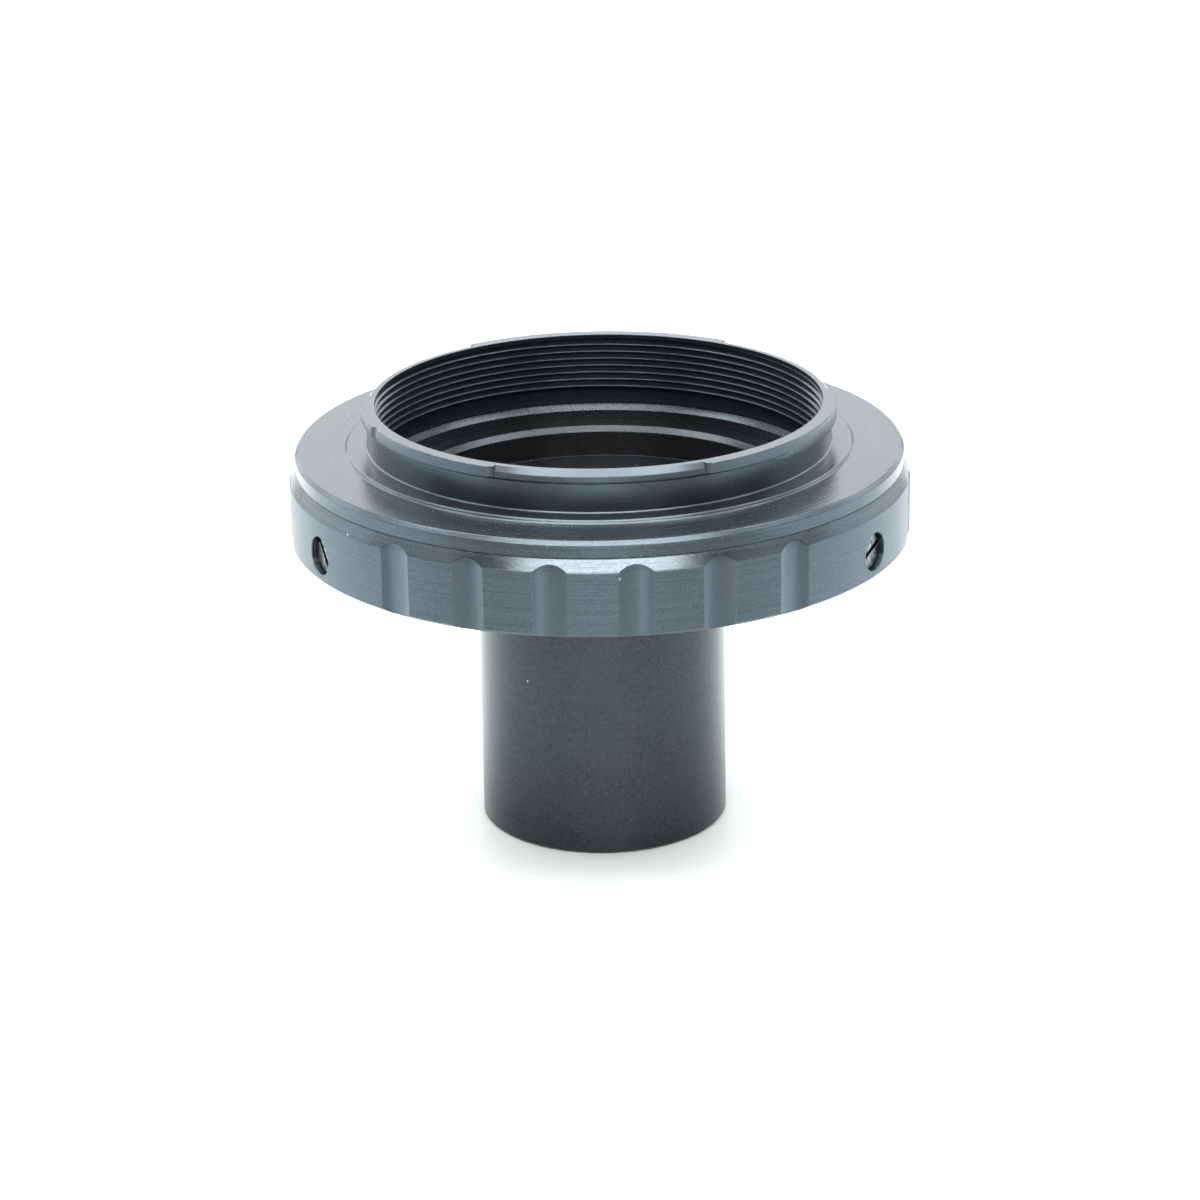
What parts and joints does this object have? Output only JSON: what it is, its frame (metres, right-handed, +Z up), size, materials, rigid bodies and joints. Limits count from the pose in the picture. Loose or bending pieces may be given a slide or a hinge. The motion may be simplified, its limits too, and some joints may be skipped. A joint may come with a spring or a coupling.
{
  "type": "microscope adapter ring",
  "caption": "Camera adapter for a microscope: eyepiece tube under a scalloped ring with a bayonet collar, which turns on an inner thread ring and is held by set screws.",
  "frame": {"origin": "centre of the eyepiece tube's lower end, where it stands on a surface", "axes": "+Z up the tube's axis towards the camera, -Y towards the front of the picture"},
  "size_m": [0.0576, 0.0576, 0.041],
  "materials": {
    "tube_anodised": "black anodised, smooth satin",
    "inner_anodised": "black anodised, satin",
    "ring_anodised": "dark grey anodised, fine turning marks",
    "screw_steel": "bright steel"
  },
  "bodies": {
    "tube": {"eyepiece_tube": "tube_anodised", "thread_ring": "inner_anodised"},
    "bayonet": {"bayonet_ring": "ring_anodised"},
    "screw_left": {"set_screw_left": "screw_steel"},
    "screw_right": {"set_screw_right": "screw_steel"},
    "screw_back": {"set_screw_back": "screw_steel"}
  },
  "joints": [
    {"name": "ring_rotation", "type": "hinge", "parent": "tube", "child": "bayonet", "pos_m": [0, 0, 0.0337], "axis": [0, 0, 1], "continuous": true},
    {"name": "screw_left_travel", "type": "slide", "parent": "bayonet", "child": "screw_left", "axis": [-0.8788, -0.4772, 0], "range_m": [0, 0.0005]},
    {"name": "screw_right_travel", "type": "slide", "parent": "bayonet", "child": "screw_right", "axis": [0.8526, -0.5225, 0], "range_m": [0, 0.0005]},
    {"name": "screw_back_travel", "type": "slide", "parent": "bayonet", "child": "screw_back", "axis": [0.0262, 0.9997, 0], "range_m": [0, 0.0005]}
  ]
}
